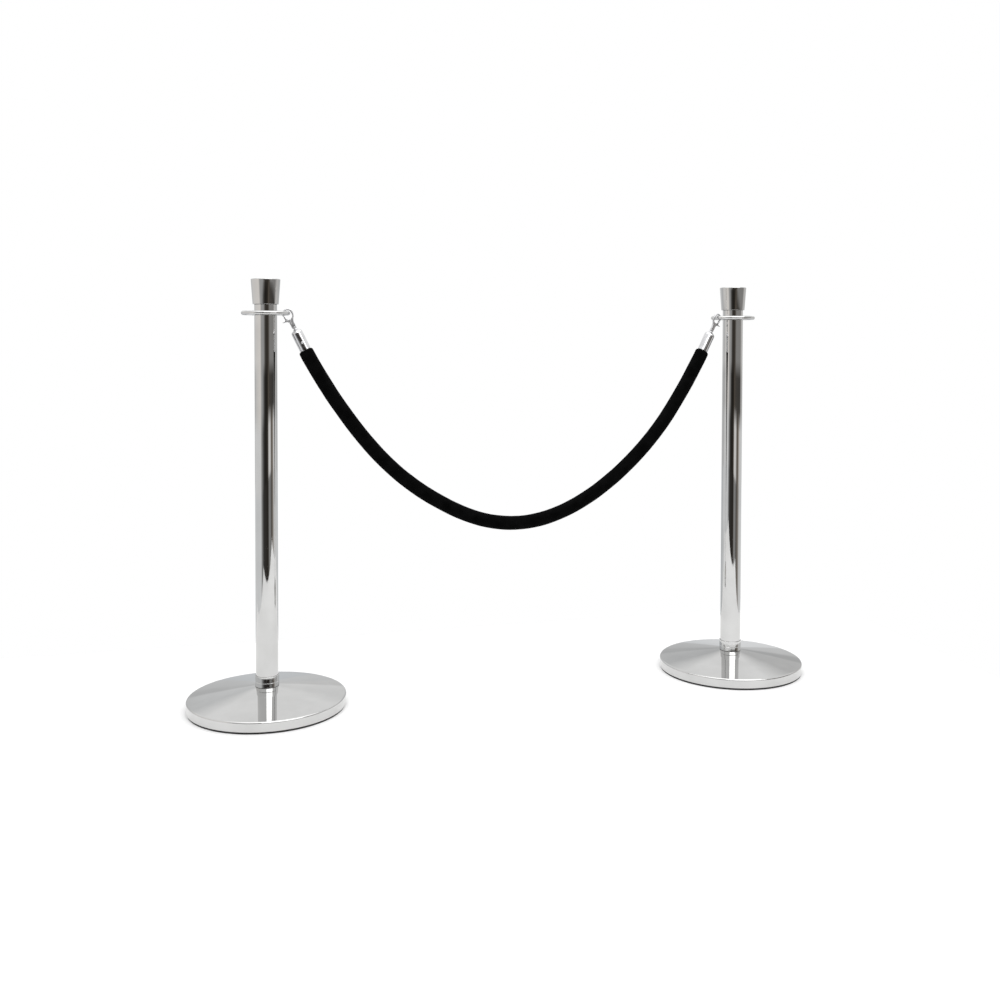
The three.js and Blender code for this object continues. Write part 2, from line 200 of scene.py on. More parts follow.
def arc(centre, radius, start, end, steps):
    """Points on an arc between two angles in degrees."""
    angles = [math.radians(start + (end - start) * k / steps) for k in range(steps + 1)]
    return [
        Vector((centre[0] + radius * math.cos(a), centre[1] + radius * math.sin(a)))
        for a in angles
    ]


def through(points, steps):
    """A Catmull-Rom curve from the second point up to, but not including, the last but one."""
    out = []
    for p0, p1, p2, p3 in zip(points, points[1:], points[2:], points[3:]):
        for k in range(steps):
            t = k / steps
            slope = (p2 - p0) * t
            bend = (2 * p0 - 5 * p1 + 4 * p2 - p3) * t * t
            out.append(0.5 * (2 * p1 + slope + bend + (3 * p1 - p0 - 3 * p2 + p3) * t**3))
    return out


def plate(name, loops, low, high, bevel, place, bevel_steps=3):
    """A flat plate in the place's XY plane, from one outline and any holes, with round edges."""
    curve = bpy.data.curves.new(name, "CURVE")
    curve.dimensions = "2D"
    curve.fill_mode = "BOTH"
    curve.extrude = (high - low) / 2 - bevel
    curve.bevel_depth = bevel
    curve.bevel_resolution = bevel_steps
    curve.offset = -bevel
    for loop in loops:
        spline = curve.splines.new("POLY")
        spline.points.add(len(loop) - 1)
        for point, (x, y) in zip(spline.points, loop):
            point.co = (x, y, 0, 1)
        spline.use_cyclic_u = True
    holder = bpy.data.objects.new(name, curve)
    bpy.context.scene.collection.objects.link(holder)
    flat = bpy.data.meshes.new_from_object(
        holder.evaluated_get(bpy.context.evaluated_depsgraph_get())
    )
    bpy.data.objects.remove(holder)
    bm = bmesh.new()
    bm.from_mesh(flat)
    bpy.data.meshes.remove(flat)
    bm.transform(place @ Matrix.Translation((0, 0, (high + low) / 2)))
    return to_mesh(name, bm)


def swept(name, rings, centres, directions, sides, capped=False):
    """Joins (index along the line, radius) rings into a skin, capped or back into the first."""
    bm = bmesh.new()
    across = Vector((0, 1, 0))
    rows = []
    for index, radius in rings:
        upright = directions[index].cross(across).normalized()
        row = []
        for k in range(sides):
            angle = 2 * math.pi * k / sides
            offset = across * math.cos(angle) + upright * math.sin(angle)
            row.append(bm.verts.new(centres[index] + offset * radius(angle)))
        rows.append(row)
    closing = [] if capped else rows[:1]
    for lower, upper in zip(rows, rows[1:] + closing):
        for k in range(sides):
            j = (k + 1) % sides
            bm.faces.new((lower[k], lower[j], upper[j], upper[k]))
    if capped:
        bm.faces.new(rows[0])
        bm.faces.new(rows[-1])
    return to_mesh(name, bm)


def merged(name, meshes):
    """Unites overlapping closed meshes into one closed skin."""
    holder = bpy.data.objects.new(name, meshes[0])
    bpy.context.scene.collection.objects.link(holder)
    tools = []
    for i, mesh in enumerate(meshes[1:]):
        tool = bpy.data.objects.new(f"{name}_tool_{i}", mesh)
        bpy.context.scene.collection.objects.link(tool)
        tools.append(tool)
        change = holder.modifiers.new("union", "BOOLEAN")
        change.operation = "UNION"
        change.solver = "EXACT"
        change.object = tool
    return applied(name, holder, tools)


def carved(name, mesh, tool_mesh):
    """Cuts one closed mesh out of another."""
    holder = bpy.data.objects.new(name, mesh)
    tool = bpy.data.objects.new(f"{name}_tool", tool_mesh)
    bpy.context.scene.collection.objects.link(holder)
    bpy.context.scene.collection.objects.link(tool)
    change = holder.modifiers.new("cut", "BOOLEAN")
    change.operation = "DIFFERENCE"
    change.solver = "EXACT"
    change.object = tool
    return applied(name, holder, [tool])


def applied(name, holder, tools):
    """Reads an object's mesh with its modifiers done, and removes it and its tools."""
    bpy.context.view_layer.update()
    shown = holder.evaluated_get(bpy.context.evaluated_depsgraph_get())
    made = bpy.data.meshes.new_from_object(shown)
    for used in [holder, *tools]:
        bpy.data.objects.remove(used)
    bm = bmesh.new()
    bm.from_mesh(made)
    bpy.data.meshes.remove(made)
    return to_mesh(name, bm)


# ---- Materials ----
def base_material(name, color, metallic, roughness):
    material = bpy.data.materials.new(name)
    material.use_nodes = True
    shader = material.node_tree.nodes["Principled BSDF"]
    shader.inputs["Base Color"].default_value = (*color, 1)
    shader.inputs["Metallic"].default_value = metallic
    shader.inputs["Roughness"].default_value = roughness
    return material, material.node_tree.nodes, material.node_tree.links, shader


def grain(nodes, links, scale, detail=4.0, stretch=(1, 1, 1)):
    """Noise over the object's own place, in repeats per metre."""
    place = nodes.new("ShaderNodeTexCoord")
    mapping = nodes.new("ShaderNodeMapping")
    mapping.inputs["Scale"].default_value = stretch
    texture = nodes.new("ShaderNodeTexNoise")
    texture.inputs["Scale"].default_value = scale
    texture.inputs["Detail"].default_value = detail
    links.new(place.outputs["Object"], mapping.inputs["Vector"])
    links.new(mapping.outputs["Vector"], texture.inputs["Vector"])
    return texture.outputs["Fac"]


def between(nodes, links, value, low, high, start=0.3, end=0.7):
    """Maps a noise value from its usual spread to a range."""
    spread = nodes.new("ShaderNodeMapRange")
    spread.inputs["From Min"].default_value = start
    spread.inputs["From Max"].default_value = end
    spread.inputs["To Min"].default_value = low
    spread.inputs["To Max"].default_value = high
    links.new(value, spread.inputs["Value"])
    return spread.outputs["Result"]


def bump(nodes, links, height, strength, distance, under=None):
    made = nodes.new("ShaderNodeBump")
    made.inputs["Strength"].default_value = strength
    made.inputs["Distance"].default_value = distance
    links.new(height, made.inputs["Height"])
    if under is not None:
        links.new(under, made.inputs["Normal"])
    return made.outputs["Normal"]


def tinted(nodes, links, value, dark, light, shader):
    """Colours the shader between two colours by a value."""
    ramp = nodes.new("ShaderNodeValToRGB")
    ramp.color_ramp.elements[0].position = 0.3
    ramp.color_ramp.elements[0].color = (*dark, 1)
    ramp.color_ramp.elements[1].position = 0.7
    ramp.color_ramp.elements[1].color = (*light, 1)
    links.new(value, ramp.inputs["Fac"])
    links.new(ramp.outputs["Color"], shader.inputs["Base Color"])


def polished_steel():
    """Mirror-finished stainless, with faint handling haze and polishing lines."""
    material, nodes, links, shader = base_material("polished_steel", (0.59, 0.59, 0.58), 1, 0.03)
    haze = grain(nodes, links, 14, detail=5)
    links.new(between(nodes, links, haze, 0.018, 0.05), shader.inputs["Roughness"])
    tinted(nodes, links, haze, (0.56, 0.56, 0.555), (0.62, 0.62, 0.615), shader)
    lines = grain(nodes, links, 60, detail=6, stretch=(1, 1, 22))
    links.new(bump(nodes, links, lines, strength=0.008, distance=0.0002), shader.inputs["Normal"])
    return material


def plated_fitting():
    """Bright chrome plate over a casting, with the casting's slight orange peel."""
    material, nodes, links, shader = base_material("plated_fitting", (0.68, 0.68, 0.69), 1, 0.1)
    peel = grain(nodes, links, 420, detail=3)
    wear = grain(nodes, links, 90, detail=5)
    links.new(between(nodes, links, wear, 0.08, 0.2), shader.inputs["Roughness"])
    tinted(nodes, links, wear, (0.62, 0.62, 0.63), (0.72, 0.72, 0.73), shader)
    links.new(bump(nodes, links, peel, strength=0.12, distance=0.0002), shader.inputs["Normal"])
    return material


def plated_casting():
    """The same plate over the hooks' castings, dulled by handling."""
    material, nodes, links, shader = base_material("plated_casting", (0.6, 0.6, 0.61), 1, 0.32)
    peel = grain(nodes, links, 500, detail=4)
    wear = grain(nodes, links, 90, detail=5)
    links.new(between(nodes, links, wear, 0.26, 0.42), shader.inputs["Roughness"])
    tinted(nodes, links, wear, (0.52, 0.52, 0.53), (0.66, 0.66, 0.67), shader)
    links.new(bump(nodes, links, peel, strength=0.2, distance=0.0002), shader.inputs["Normal"])
    return material


def zinc_steel():
    """Dull zinc plate on bolts, plugs and pins."""
    material, nodes, links, shader = base_material("zinc_steel", (0.4, 0.41, 0.42), 1, 0.4)
    spangle = grain(nodes, links, 260, detail=4)
    links.new(between(nodes, links, spangle, 0.3, 0.52), shader.inputs["Roughness"])
    tinted(nodes, links, spangle, (0.32, 0.33, 0.34), (0.5, 0.51, 0.52), shader)
    links.new(bump(nodes, links, spangle, strength=0.2, distance=0.0002), shader.inputs["Normal"])
    return material


def cast_iron():
    """Painted casting with the sand's grain showing through."""
    material, nodes, links, shader = base_material("cast_iron", (0.03, 0.031, 0.033), 0, 0.7)
    sand = grain(nodes, links, 700, detail=8)
    patches = grain(nodes, links, 30, detail=3)
    links.new(between(nodes, links, patches, 0.55, 0.8), shader.inputs["Roughness"])
    tinted(nodes, links, patches, (0.022, 0.022, 0.024), (0.05, 0.05, 0.052), shader)
    links.new(bump(nodes, links, sand, strength=0.5, distance=0.0006), shader.inputs["Normal"])
    return material


def black_rubber():
    """Moulded rubber, a little dusty."""
    material, nodes, links, shader = base_material("black_rubber", (0.012, 0.012, 0.013), 0, 0.75)
    dust = grain(nodes, links, 60, detail=5)
    pores = grain(nodes, links, 900, detail=4)
    links.new(between(nodes, links, dust, 0.65, 0.85), shader.inputs["Roughness"])
    tinted(nodes, links, dust, (0.008, 0.008, 0.009), (0.02, 0.019, 0.018), shader)
    links.new(bump(nodes, links, pores, strength=0.35, distance=0.0003), shader.inputs["Normal"])
    return material


def black_velour():
    """Short black pile: fine tufts, and soft patches where the pile lies another way."""
    material, nodes, links, shader = base_material("black_velour", (0.004, 0.004, 0.004), 0, 0.95)
    shader.inputs["Specular IOR Level"].default_value = 0.02
    shader.inputs["Sheen Weight"].default_value = 0.015
    shader.inputs["Sheen Roughness"].default_value = 0.45
    shader.inputs["Sheen Tint"].default_value = (0.7, 0.7, 0.75, 1)
    lay = grain(nodes, links, 38, detail=3)
    tufts = grain(nodes, links, 1500, detail=2)
    tinted(nodes, links, lay, (0.001, 0.001, 0.001), (0.0035, 0.0035, 0.0036), shader)
    links.new(between(nodes, links, lay, 0.88, 1.0), shader.inputs["Roughness"])
    soft = bump(nodes, links, lay, strength=0.25, distance=0.004)
    tufted = bump(nodes, links, tufts, strength=0.8, distance=0.0009, under=soft)
    links.new(tufted, shader.inputs["Normal"])
    return material


def cotton():
    """Undyed twisted yarn."""
    material, nodes, links, shader = base_material("cotton", (0.55, 0.5, 0.42), 0, 0.95)
    yarn = grain(nodes, links, 600, detail=4, stretch=(1, 1, 0.3))
    tinted(nodes, links, yarn, (0.42, 0.38, 0.31), (0.66, 0.62, 0.54), shader)
    links.new(between(nodes, links, yarn, 0.85, 1.0), shader.inputs["Roughness"])
    links.new(bump(nodes, links, yarn, strength=0.7, distance=0.001), shader.inputs["Normal"])
    return material


# ---- Rope ----
def rope_line(points, spacing):
    """A smooth line through the points, as evenly spaced centres and directions."""
    padded = [points[0] * 2 - points[1], *points, points[-1] * 2 - points[-2]]
    fine = through(padded, steps=24)
    fine.append(points[-1].copy())
    run = [0.0]
    for a, b in zip(fine, fine[1:]):
        run.append(run[-1] + (b - a).length)
    count = round(run[-1] / spacing)
    centres = []
    i = 0
    for k in range(count + 1):
        goal = run[-1] * k / count
        while i < len(run) - 2 and run[i + 1] < goal:
            i += 1
        share = (goal - run[i]) / (run[i + 1] - run[i])
        centres.append(fine[i].lerp(fine[i + 1], share))
    directions = [
        (centres[min(k + 1, count)] - centres[max(k - 1, 0)]).normalized()
        for k in range(count + 1)
    ]
    return centres, directions, run[-1]


def rope_end_axis(side):
    """The direction up a ferrule's axis from the rope's end."""
    out = -1 if side == "left" else 1
    return Vector((out * math.sin(LEAN), 0, math.cos(LEAN)))


ROUTE_POINTS = [Vector((x, ROPE_Y, z)) for x, z in ROPE_ROUTE]
ROPE_ENDS = {"left": ROUTE_POINTS[0], "right": ROUTE_POINTS[-1]}


def make_rope_cover(material):
    spacing, sides, bore_step = 0.0015, 48, 8
    centres, directions, length = rope_line(ROUTE_POINTS, spacing)
    last = len(centres) - 1
    full = ROPE_DIAMETER / 2
    edge = 0.006  # radius of the rounded ends
    lump_height, lump_size = 0.0003, 0.045
    crush_height, crush_size = 0.00012, 0.012

    def outer(index):
        away = min(index, last - index) * spacing
        inset = edge - min(away, edge)
        end_round = edge - math.sqrt(max(0.0, edge * edge - inset * inset))
        spot = centres[index]

        def radius(angle):
            around = Vector((math.cos(angle), 0, math.sin(angle))) * full
            lump = noise.noise((spot + around) / lump_size)
            crush = noise.noise((spot + around) / crush_size + Vector((9, 0, 0)))
            return full - end_round + lump_height * lump + crush_height * crush

        return radius

    def bore(_angle):
        return ROPE_BORE

    rings = [(i, outer(i)) for i in range(last + 1)]
    rings += [(i, bore) for i in range(last, -1, -bore_step)]
    mesh = swept("rope_cover_pile", rings, centres, directions, sides)
    cover = new_object("rope_cover_pile", mesh, material, "rope", "rope_cover")
    return cover, centres, length


def make_rope_core(material):
    """Three twisted strands, as ridges round one core."""
    groove, twist = 0.0012, 0.12
    ends = [ROPE_ENDS[s] + rope_end_axis(s) * CORE_IN_FERRULE for s in SIDES]
    centres, directions, _ = rope_line([ends[0], *ROUTE_POINTS, ends[1]], 0.003)
    last = len(centres) - 1

    def strands(index):
        def radius(angle):
            ridge = abs(math.sin(1.5 * angle + index * twist))
            return CORE_RADIUS - groove * (1 - ridge)

        return radius

    rings = [(i, strands(i)) for i in range(last + 1)]
    mesh = swept("rope_core_strands", rings, centres, directions, 36, capped=True)
    return new_object("rope_core_strands", mesh, material, "rope", "rope_core")


# ---- Posts ----
class Span:
    """Where a CAD node that is round about a post's axis lies."""

    def __init__(self, node):
        low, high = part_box(node)
        self.x = (low.x + high.x) / 2
        self.radius = (high.x - low.x) / 2
        self.bottom = low.z
        self.top = high.z
        self.place = Matrix.Translation((self.x, 0, 0))


def make_floor_pad(side, material):
    s = Span(f"{side}_floor_pad")
    hole = 0.02
    profile = rounded(
        [
            (hole, s.bottom, 0),
            (s.radius, s.bottom, 0.0008),
            (s.radius, s.top, 0.0012),
            (hole, s.top, 0),
        ]
    )
    mesh = turned(f"{side}_pad", profile, s.place, 160)
    new_object(f"{side}_pad", mesh, material, "posts", f"{side}_floor_pad")


def make_base_cover(side, material):
    s = Span(f"{side}_base_cover")
    sheet = 0.0015
    wall_height = 0.0215
    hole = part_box(f"{side}_tube")[1].x - s.x + 0.0005
    rim = s.bottom + wall_height
    slope = (s.top - rim) / (s.radius - hole)
    profile = rounded(
        [
            (s.radius - sheet, s.bottom, 0),
            (s.radius - 0.0003, s.bottom, 0.0004),
            (s.radius, rim, 0.004),
            (hole, s.top, 0.0004),
            (hole, s.top - sheet, 0),
            (s.radius - sheet, rim - sheet + slope * sheet, 0.0025),
        ],
        steps=8,
    )
    profile = subdivided(profile, 0.008)
    mesh = turned(f"{side}_cover", profile, s.place, 192, wave=0.00004, wave_size=0.05)
    new_object(
        f"{side}_cover", mesh, material, "posts", f"{side}_base_cover"
    )


def make_collar(side, material):
    s = Span(f"{side}_collar")
    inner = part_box(f"{side}_tube")[1].x - s.x + GAP
    groove_share, groove_half, groove_depth = 0.42, 0.0007, 0.0005
    groove = s.bottom + groove_share * (s.top - s.bottom)
    profile = rounded(
        [
            (inner, s.bottom, 0),
            (s.radius, s.bottom, 0.0004),
            (s.radius, groove - groove_half, 0.0002),
            (s.radius - groove_depth, groove, 0),
            (s.radius, groove + groove_half, 0.0002),
            (s.radius, s.top, 0.0008),
            (inner, s.top, 0),
        ]
    )
    mesh = turned(f"{side}_tube_collar", profile, s.place, 96)
    new_object(
        f"{side}_tube_collar", mesh, material, "posts", f"{side}_collar"
    )


def make_tube(side, material):
    s = Span(f"{side}_tube")
    wall = 0.0015
    inner = s.radius - wall
    corners = [
        (inner, s.bottom, 0),
        (s.radius, s.bottom, 0.0004),
        (s.radius, s.top, 0.0006),
        (inner, s.top, 0),
    ]
    profile = subdivided(rounded(corners), 0.012)
    mesh = turned(f"{side}_pole", profile, s.place, 128, wave=0.00002, wave_size=0.05)
    new_object(f"{side}_pole", mesh, material, "posts", f"{side}_tube")


def make_rope_ring(side, material):
    s = Span(f"{side}_rope_ring")
    rim, hub, stud = 0.0065, 0.033, 0.0054
    spoke = 9  # half of a spoke's width, in degrees
    reach = 45 - spoke
    round_edge, round_steps = 0.0038, 6
    loops = [arc((0, 0), s.radius, 0, 357.5, 143)]
    for middle in (0, 90, 180, 270):
        outer = arc((0, 0), s.radius - rim, middle - reach, middle + reach, 30)
        inner = arc((0, 0), hub, middle + reach, middle - reach, 24)
        loops.append(softened(outer + inner, 0.0025))
    loops.append(arc((0, 0), stud, 0, 345, 23))
    place = s.place @ Matrix.Translation((0, 0, (s.bottom + s.top) / 2))
    half = (s.top - s.bottom) / 2
    mesh = plate(f"{side}_ring", loops, -half, half, round_edge, place, round_steps)
    new_object(f"{side}_ring", mesh, material, "posts", f"{side}_rope_ring")


def softened(loop, radius):
    """Rounds the sharp corners of a closed outline of many points."""
    out = []
    steps = 5
    cleared = radius * 1.3  # the outline's own points are dropped this near a corner
    corners = [here for i, here in enumerate(loop) if is_corner(loop, i)]
    for i, here in enumerate(loop):
        if not is_corner(loop, i):
            if all((corner - here).length >= cleared for corner in corners):
                out.append(here)
            continue
        start = toward(loop, i, -1, radius)
        end = toward(loop, i, 1, radius)
        for k in range(steps + 1):
            t = k / steps
            out.append(start * (1 - t) ** 2 + here * 2 * t * (1 - t) + end * t * t)
    return out


def is_corner(loop, i):
    """Whether a closed outline turns sharply at point i."""
    sharp_turn = math.radians(40)
    after = loop[(i + 1) % len(loop)]
    return (loop[i] - loop[i - 1]).angle(after - loop[i]) > sharp_turn


def toward(loop, i, step, distance):
    """The point a distance along the outline from corner i."""
    here = loop[i]
    j = (i + step) % len(loop)
    left = distance
    while (loop[j] - here).length < left:
        left -= (loop[j] - here).length
        here = loop[j]
        j = (j + step) % len(loop)
    return here + (loop[j] - here).normalized() * left


def make_neck(side, material):
    s = Span(f"{side}_neck")
    wall = 0.006
    inner = s.radius - wall
    profile = rounded(
        [
            (inner, s.bottom, 0),
            (s.radius, s.bottom, 0.0006),
            (s.radius, s.top, 0.0006),
            (inner, s.top, 0),
        ]
    )
    mesh = turned(f"{side}_spacer", profile, s.place, 96)
    new_object(f"{side}_spacer", mesh, material, "posts", f"{side}_neck")


def make_crown(side, material):
    s = Span(f"{side}_crown")
    spread = 0.00415  # how much wider the cup's top is than its foot, each side
    wall, boss, thread = 0.003, 0.01, 0.0054
    thread_depth = 0.011
    foot = s.radius - spread
    roof = s.top - 0.005
    flare = (s.radius - foot) / (s.top - s.bottom)
    inner_roof = foot + flare * (roof - s.bottom) - wall
    corners = [
        (thread, s.bottom + 0.002, 0),
        (boss, s.bottom + 0.002, 0.0005),
        (boss, roof, 0.002),
        (inner_roof, roof, 0.003),
        (foot - wall, s.bottom, 0.0005),
        (foot, s.bottom, 0.0006),
        (s.radius, s.top, 0.0016),
        (0, s.top, 0),
        (0, roof - thread_depth, 0),
        (thread, roof - thread_depth, 0),
    ]
    profile = subdivided(rounded(corners), 0.008)
    mesh = turned(f"{side}_cup", profile, s.place, 128, wave=0.00002, wave_size=0.03)
    new_object(f"{side}_cup", mesh, material, "posts", f"{side}_crown")


# ---- Rope ends ----
def end_place(side, turn=0.0):
    """X towards the rope, Y up the ferrule's axis, from GAP above the dome's top."""
    up = rope_end_axis(side)
    ropeward = Vector((math.cos(LEAN), 0, math.sin(LEAN)))
    if side == "right":
        ropeward.x = -ropeward.x
    facing = ropeward.cross(up)
    origin = ROPE_ENDS[side] + up * (FERRULE_LENGTH + GAP)
    place = Matrix((ropeward, up, facing)).transposed().to_4x4()
    place.translation = origin
    return place @ Matrix.Rotation(turn, 4, "Y")


UPRIGHT = Matrix.Rotation(-math.pi / 2, 4, "X")  # turns a lathe's Z axis onto local Y

# The hook in its own plane, in millimetres.
PIVOT = (-7.2, 26.4)
PIN_HOLE = 1.3
PIN_HALF = 4.8
HALF_THICK = 2.4
EYE_TOP = 48.8
EYE_RADIUS = 8.6
EYE_BOTTOM_CENTRE = 36.2
BOW_RADIUS = 12.2
SHANK_RADIUS = 3
SWIVEL_HEAD_RADIUS = 5.4


def scaled(corners):
    """Millimetres to metres."""
    return [(x * MM, y * MM, r * MM) for x, y, r in corners]


def screw_place(side):
    """Across the ferrule, at the screw, with Z out of its wall."""
    return end_place(side) @ Matrix.Translation((0, -SCREW_BELOW_DOME, 0))


def make_ferrule(side, material):
    radius, bore, length, dome, roof, hole = 12.8, 11.3, 50, 8.0, 2.0, 3.4
    corners = [(bore, -length, 0), (radius, -length, 0.5)]
    dome_steps = 12
    for k in range(dome_steps + 1):
        angle = math.pi / 2 * k / dome_steps
        across = hole + (radius - hole) * math.cos(angle)
        corners.append((across, dome * (math.sin(angle) - 1), 0))
    corners += [(hole, -roof, 0), (6.2, -roof, 0), (8.5, -3.85, 0), (bore, -dome, 0)]
    place = end_place(side) @ UPRIGHT
    mesh = turned(f"{side}_cap", rounded(scaled(corners)), place, 96)
    screw_hole = [(0, 2, 0), (1.8, 2, 0), (1.8, 15, 0), (0, 15, 0)]
    pilot = turned("pilot", rounded(scaled(screw_hole)), screw_place(side), 24)
    mesh = carved(f"{side}_cap", mesh, pilot)
    new_object(f"{side}_cap", mesh, material, "rope", f"{side}_ferrule")


def make_ferrule_screw(side, material):
    seat = 13.1
    corners = [
        (0, 4, 0),
        (1.4, 4.6, 0.3),
        (1.4, seat, 0),
        (2.8, seat, 0.2),
        (2.6, seat + 0.8, 0.5),
        (1.0, seat + 1.4, 0.4),
        (0.9, seat + 0.9, 0),
        (0, seat + 0.9, 0),
    ]
    place = screw_place(side)
    mesh = turned(f"{side}_screw", rounded(scaled(corners)), place, 32)
    new_object(
        f"{side}_screw", mesh, material, "rope", f"{side}_ferrule_screw"
    )


def make_swivel_washer(side, material):
    corners = [(3.4, 0.3, 0), (5.4, 0.3, 0.3), (5.4, 1.9, 0.5), (3.4, 1.9, 0.2)]
    place = end_place(side, HOOK_TURN[side]) @ UPRIGHT
    mesh = turned(f"{side}_washer", rounded(scaled(corners)), place, 40)
    body = f"{side}_hook"
    new_object(
        f"{side}_washer", mesh, material, body, f"{side}_swivel_washer"
    )


def hook_outline():
    """Up the rope side, over the ring, down to the nose, and back inside to the lug."""
    rope_side = [(3, 3.2), (5, 6), (5.3, 19), (6.6, 24.6), (9.2, 28.8), (11.4, 33), (12.3, 36.8)]
    pole_side = [(-5.3, 20.5), (-5, 6), (-3, 3.2)]
    points = smooth_line(rope_side, 5)
    points += arc((0.4, EYE_TOP - EYE_RADIUS + 0.2), BOW_RADIUS, 0, 190, 48)
    points += arc((0, EYE_TOP - EYE_RADIUS), EYE_RADIUS, 190, 0, 40)
    points += arc((0, EYE_BOTTOM_CENTRE), EYE_RADIUS, -8, -125, 28)
    points += arc(PIVOT, 3.2, 50, 250, 18)
    points += [Vector(p) for p in pole_side]
    return [p * MM for p in points]


def smooth_line(pairs, steps):
    """A smooth open line through the points."""
    points = [Vector(p) for p in pairs]
    out = through([points[0], *points, points[-1]], steps)
    out.append(points[-1])
    return out


def block(low, high, place):
    """A plain box used only to cut with."""
    bm = bmesh.new()
    bmesh.ops.create_cube(bm, size=1)
    size = [(b - a) * MM for a, b in zip(low, high)]
    middle = [(b + a) / 2 * MM for a, b in zip(low, high)]
    bm.transform(place @ Matrix.Translation(middle) @ Matrix.Diagonal((*size, 1)))
    return to_mesh("block", bm)


def pin_rod(place):
    """The rod that cuts the pin's hole."""
    across, half = PIN_HOLE, PIN_HALF
    corners = scaled([(0, -half, 0), (across, -half, 0), (across, half, 0), (0, half, 0)])
    at_pin = place @ Matrix.Translation((PIVOT[0] * MM, PIVOT[1] * MM, 0))
    return turned("pin", rounded(corners), at_pin, 32)


def make_hook_body(side, material):
    place = end_place(side, HOOK_TURN[side])
    half = HALF_THICK * MM
    round_edge = 1.3 * MM
    name = f"{side}_snap_hook"
    body = plate(name, [hook_outline()], -half, half, round_edge, place, 4)
    shank_profile = [
        (0, -4.8, 0),
        (SWIVEL_HEAD_RADIUS, -4.8, 0.4),
        (SWIVEL_HEAD_RADIUS, -2.4, 0.4),
        (SHANK_RADIUS, -2.4, 0),
        (SHANK_RADIUS, 10, 0),
        (0, 10, 0),
    ]
    shank = turned("shank", rounded(scaled(shank_profile)), place @ UPRIGHT, 48)
    whole = merged(name, [body, shank])
    trigger_slot = block((-12.4, 22.5, -1.5), (-3.4, 31.5, 1.5), place)
    whole = carved(name, whole, trigger_slot)
    whole = carved(name, whole, pin_rod(place))
    new_object(name, whole, material, f"{side}_hook", f"{side}_hook_body")


def make_trigger(side, material):
    place = end_place(side, HOOK_TURN[side])
    name = f"{side}_gate"
    eye_arm = [(-8.3, 33), (-10.9, 33), (-11, 29), (-13, 27.4), (-13, 25.1), (-10.5, 24.6)]
    eye = [*arc(PIVOT, 2.7, -120, 75, 20), *(Vector(p) for p in eye_arm)]
    bar = [(-11, 31.3), (-11.3, 36.6), (-10.6, 37.6), (-9.2, 37.8), (-8.5, 37.2), (-8.2, 31.3)]
    tail = [(-15, 25.1), (-18, 25.8), (-18.8, 26.8), (-18, 27.6), (-15, 27.2), (-12.2, 27.7)]
    tail.append((-12.2, 25))
    eye_thick, grip_half, grip_edge = 1.2 * MM, 1.8 * MM, 0.5 * MM
    parts = [plate(name, [[p * MM for p in eye]], -eye_thick, 0, 0.2 * MM, place)]
    for grip, outline in (("bar", bar), ("tail", tail)):
        loop = [Vector(p) * MM for p in outline]
        parts.append(plate(grip, [loop], -grip_half, grip_half, grip_edge, place))
    whole = carved(name, merged(name, parts), pin_rod(place))
    new_object(name, whole, material, f"{side}_trigger", f"{side}_trigger")


# ---- Studio ----
# How bright the room's wall is, from the skirting up. A stop is (degrees from -Y towards +X,
# brightness, warmth), and each band blends into the next one up between two heights in metres.
FOOT_BLEND = (0.14, 0.17)
LOW_BLEND = (0.42, 0.52)
HIGH_BLEND = (0.68, 0.76)
CORNICE_BLEND = (1.25, 1.7)

SKIRTING = [
    (-180, 0.6, -0.06),
    (-158, 0.64, -0.06),
    (-135, 0.8, -0.02),
    (-66, 0.82, -0.02),
    (-54, 0.3, 0.0),
    (-40, 0.05, 0.1),
    (4, 0.03, 0.3),
    (15, 0.3, 0.05),
    (28, 0.3, 0.0),
    (40, 0.1, 0.2),
    (62, 0.3, 0.2),
    (76, 0.8, 0.0),
    (135, 0.8, -0.02),
    (158, 0.64, -0.06),
    (180, 0.6, -0.06),
]
LOWER_WALL = [
    (-180, 0.66, -0.02),
    (-150, 0.58, -0.02),
    (-120, 0.84, 0.0),
    (-66, 0.84, 0.0),
    (-56, 0.4, 0.02),
    (-46, 0.2, 0.0),
    (-36, 0.05, 0.1),
    (-18, 0.02, 0.2),
    (4, 0.05, 0.3),
    (14, 0.8, 0.05),
    (28, 0.85, 0.0),
    (40, 0.3, 0.2),
    (50, 0.08, 0.4),
    (62, 0.4, 0.2),
    (74, 0.8, 0.0),
    (100, 0.82, 0.0),
    (150, 0.58, -0.02),
    (180, 0.66, -0.02),
]
MIDDLE_WALL = [
    (-180, 0.7, 0.0),
    (-158, 0.55, -0.02),
    (-140, 0.52, -0.02),
    (-110, 0.76, 0.04),
    (-66, 0.9, 0.09),
    (-56, 0.5, 0.02),
    (-44, 0.35, 0.0),
    (-30, 0.07, 0.1),
    (-18, 0.02, 0.2),
    (2, 0.03, 0.3),
    (12, 0.12, 0.3),
    (22, 0.08, 0.2),
    (76, 0.06, 0.1),
    (92, 0.6, 0.05),
    (140, 0.5, -0.02),
    (158, 0.54, -0.02),
    (180, 0.7, 0.0),
]
UPPER_WALL = [
    (-180, 0.84, 0.0),
    (-164, 0.72, -0.02),
    (-146, 0.6, -0.02),
    (-120, 0.84, 0.04),
    (-66, 0.92, 0.09),
    (-56, 0.45, 0.02),
    (-36, 0.42, 0.0),
    (-26, 0.2, 0.1),
    (-17, 0.05, 0.2),
    (8, 0.05, 0.3),
    (17, 0.13, 0.2),
    (28, 0.3, 0.05),
    (78, 0.3, 0.05),
    (90, 0.7, 0.05),
    (146, 0.58, -0.02),
    (164, 0.66, -0.02),
    (180, 0.84, 0.0),
]
CORNICE = [(-180, 0.95, 0.0), (0, 0.85, 0.0), (180, 0.95, 0.0)]


